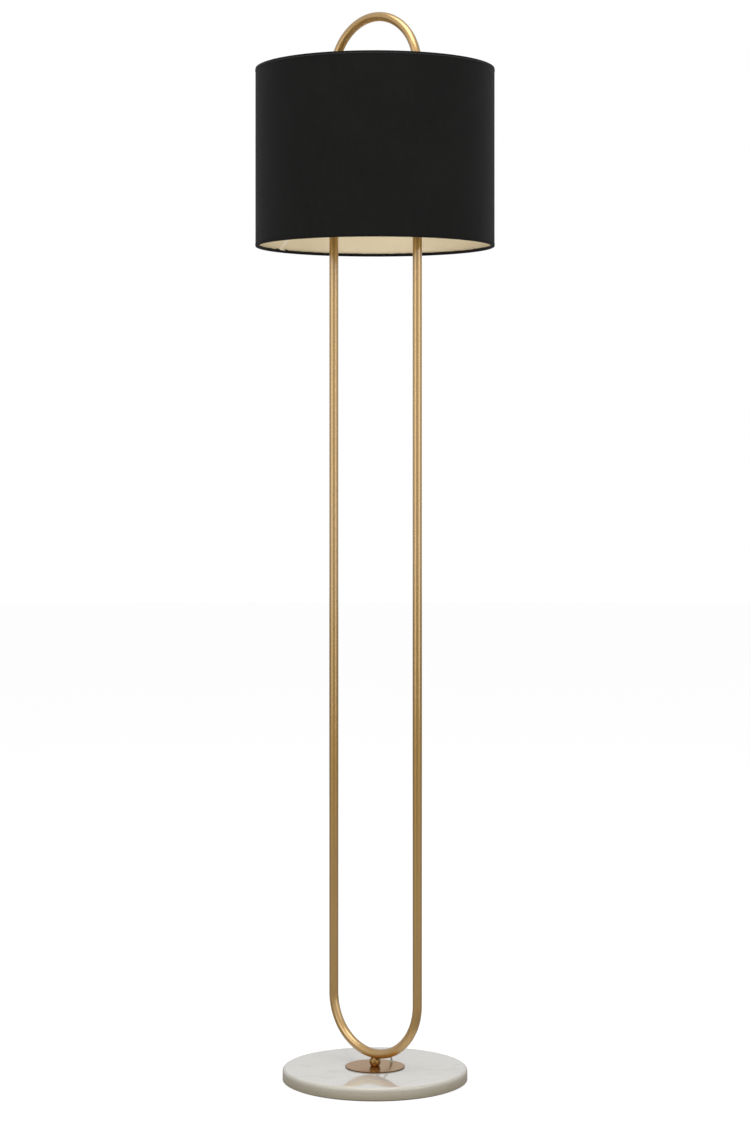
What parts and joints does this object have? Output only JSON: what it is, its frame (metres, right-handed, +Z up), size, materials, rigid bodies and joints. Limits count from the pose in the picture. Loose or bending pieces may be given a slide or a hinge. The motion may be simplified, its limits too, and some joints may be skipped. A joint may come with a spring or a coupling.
{
  "type": "floor lamp",
  "caption": "Slim floor lamp: a tall closed loop of satin gold tube on a ball, plate and round marble base, with a black drum shade round its upper end.",
  "frame": {"origin": "on the floor under the foot pad, on the lamp's vertical axis", "axes": "+Z up; the loop lies in the X-Z plane; the switch knob faces -Y and the cord inlet +Y"},
  "size_m": [0.35, 0.35, 1.56],
  "materials": {
    "antique_brass": "satin antique gold plating, lacquered",
    "plate_brass": "polished antique brass",
    "marble": "polished white marble with faint grey veins",
    "felt": "pressed felt",
    "shade_black": "black slubbed linen-look weave",
    "hem_black": "same weave rolled round the rim",
    "lining_cream": "pale gold laminated lining",
    "zinc_steel": "bright zinc plated",
    "black_plastic": "moulded thermoset, fine satin",
    "white_ceramic": "unglazed steatite",
    "contact_brass": "bright rolled brass",
    "clear_pvc": "clear flexible sheath over fine copper cores",
    "nylon_white": "natural nylon",
    "bulb_glass": "clear blown glass",
    "nickel": "bright rolled cap",
    "cap_glass": "black vitrite",
    "phosphor": "yellow phosphor coat"
  },
  "bodies": {
    "lamp": {"foot_pad": "felt", "marble_base": "marble", "base_plate": "plate_brass", "lead_grommet": "clear_pvc", "ball_spacer": "plate_brass", "mounting_stud": "zinc_steel", "stud_boss": "zinc_steel", "clamp_washer": "zinc_steel", "spring_washer": "zinc_steel", "stud_nut": "zinc_steel", "cord_gland": "black_plastic", "terminal_block": "nylon_white", "terminal_screws": "contact_brass", "lamp_lead": "clear_pvc", "loop_tube": "antique_brass", "top_arch": "antique_brass", "arch_spigots": "zinc_steel", "spigot_screws": "zinc_steel", "crossbar_arms": "antique_brass", "centre_hub": "antique_brass", "hub_screws": "zinc_steel", "threaded_nipple": "zinc_steel", "nipple_locknuts": "contact_brass", "holder_cap": "black_plastic", "holder_barrel": "black_plastic", "insulator": "white_ceramic", "contact_screws": "contact_brass", "screw_shell": "contact_brass", "centre_contact": "contact_brass", "shade_rings": "black_plastic", "switch_body": "black_plastic", "switch_bush": "contact_brass", "bush_nut": "contact_brass", "bulb_glass": "bulb_glass", "bulb_cap": "nickel", "bulb_tip": "contact_brass", "bulb_insulator": "cap_glass", "bulb_stem": "bulb_glass", "bulb_filaments": "phosphor", "shade_fabric": "shade_black", "shade_lining": "lining_cream", "lining_seam": "lining_cream", "bottom_hem": "hem_black", "top_hem": "hem_black", "bottom_ring": "zinc_steel", "top_ring": "zinc_steel", "fitter_spider": "zinc_steel"},
    "knob": {"switch_knob": "black_plastic", "switch_shaft": "contact_brass"}
  },
  "joints": [
    {"name": "switch_turn", "type": "hinge", "parent": "lamp", "child": "knob", "pos_m": [0, -0.03, 1.3175], "axis": [0, -1, 0], "continuous": true}
  ]
}
